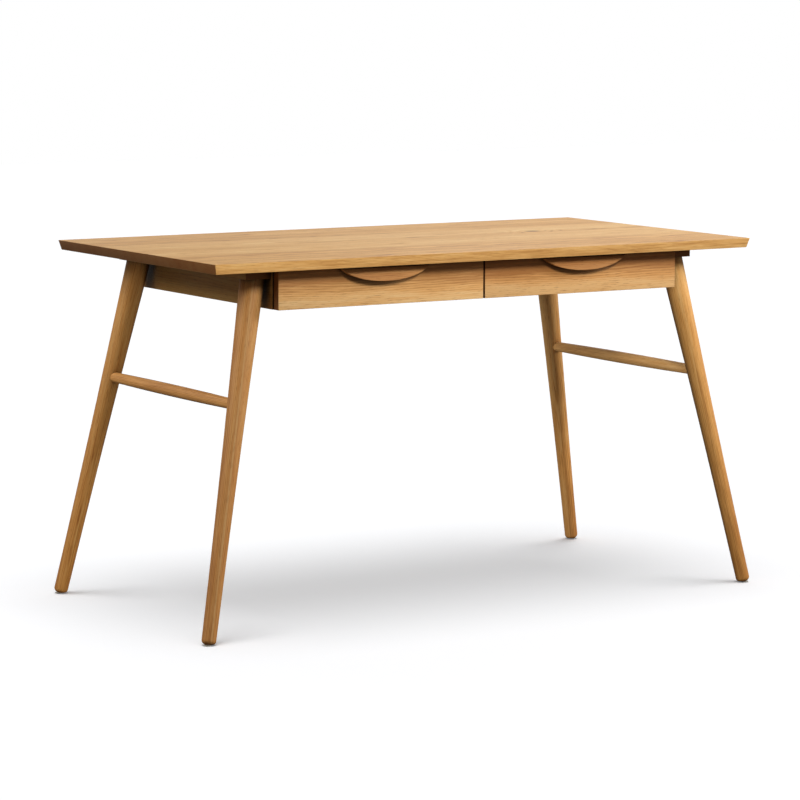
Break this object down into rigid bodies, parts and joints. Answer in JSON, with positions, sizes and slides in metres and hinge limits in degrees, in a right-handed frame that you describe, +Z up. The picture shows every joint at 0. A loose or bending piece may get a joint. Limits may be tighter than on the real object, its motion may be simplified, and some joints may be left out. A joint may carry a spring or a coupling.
{
  "type": "writing desk",
  "caption": "Writing desk with a thin undercut top, splayed turned legs joined by side rungs, and wide drawers on ball slides with half-moon finger pulls.",
  "frame": {"origin": "on the floor, under the middle of the desk top", "axes": "+X to the right along the desk's width, +Y to the back, +Z up; the drawers open towards -Y"},
  "size_m": [1.3446, 0.67, 0.745],
  "materials": {
    "oak": "solid oak, sanded and oiled to a warm satin",
    "box_wood": "pale solid wood, sanded, clear matt lacquer",
    "plywood": "thin birch plywood, clear matt lacquer",
    "slide_steel": "roll-formed zinc-plated steel",
    "screw_steel": "zinc-plated steel screws and bolts",
    "ball_steel": "polished bearing steel",
    "brass": "turned and stamped brass",
    "nylon": "dark moulded nylon"
  },
  "bodies": {
    "frame": {"desk_top": "oak", "top_inserts": "brass", "leg_rail_left": "oak", "leg_rail_right": "oak", "rail_bolts": "screw_steel", "leg_front_left": "oak", "leg_front_right": "oak", "leg_back_left": "oak", "leg_back_right": "oak", "side_rung_left": "oak", "side_rung_right": "oak", "floor_glides": "nylon", "case_side_left": "oak", "case_side_right": "oak", "case_divider": "oak", "case_back": "oak", "cross_rail_front_left": "oak", "cross_rail_front_right": "oak", "cross_rail_back_left": "oak", "cross_rail_back_right": "oak", "case_dowels": "box_wood", "case_top_screws": "screw_steel", "front_bumpers": "nylon", "channel_left_outboard": "slide_steel", "channel_left_inboard": "slide_steel", "channel_right_outboard": "slide_steel", "channel_right_inboard": "slide_steel", "channel_screws": "screw_steel"},
    "left_drawer": {"left_front": "oak", "left_pull": "oak", "left_box_front": "box_wood", "left_box_back": "box_wood", "left_box_side_outboard": "box_wood", "left_box_side_inboard": "box_wood", "left_box_bottom": "plywood", "left_runner_outboard": "slide_steel", "left_runner_inboard": "slide_steel", "left_runner_screws": "screw_steel", "left_front_screws": "screw_steel", "left_pull_screws": "screw_steel", "left_box_dowels": "box_wood"},
    "left_ball_cages": {"left_cage_outboard": "brass", "left_cage_inboard": "brass", "left_balls": "ball_steel"},
    "right_drawer": {"right_front": "oak", "right_pull": "oak", "right_box_front": "box_wood", "right_box_back": "box_wood", "right_box_side_outboard": "box_wood", "right_box_side_inboard": "box_wood", "right_box_bottom": "plywood", "right_runner_outboard": "slide_steel", "right_runner_inboard": "slide_steel", "right_runner_screws": "screw_steel", "right_front_screws": "screw_steel", "right_pull_screws": "screw_steel", "right_box_dowels": "box_wood"},
    "right_ball_cages": {"right_cage_outboard": "brass", "right_cage_inboard": "brass", "right_balls": "ball_steel"}
  },
  "joints": [
    {"name": "left_drawer_slide", "type": "slide", "parent": "frame", "child": "left_drawer", "axis": [0, -1, 0], "range_m": [0, 0.3]},
    {"name": "left_cage_slide", "type": "slide", "parent": "frame", "child": "left_ball_cages", "axis": [0, -1, 0], "range_m": [0, 0.15]},
    {"name": "right_drawer_slide", "type": "slide", "parent": "frame", "child": "right_drawer", "axis": [0, -1, 0], "range_m": [0, 0.3]},
    {"name": "right_cage_slide", "type": "slide", "parent": "frame", "child": "right_ball_cages", "axis": [0, -1, 0], "range_m": [0, 0.15]}
  ],
  "couplings": [
    {"joint": "left_cage_slide", "follows": "left_drawer_slide", "ratio": 0.5},
    {"joint": "right_cage_slide", "follows": "right_drawer_slide", "ratio": 0.5}
  ]
}
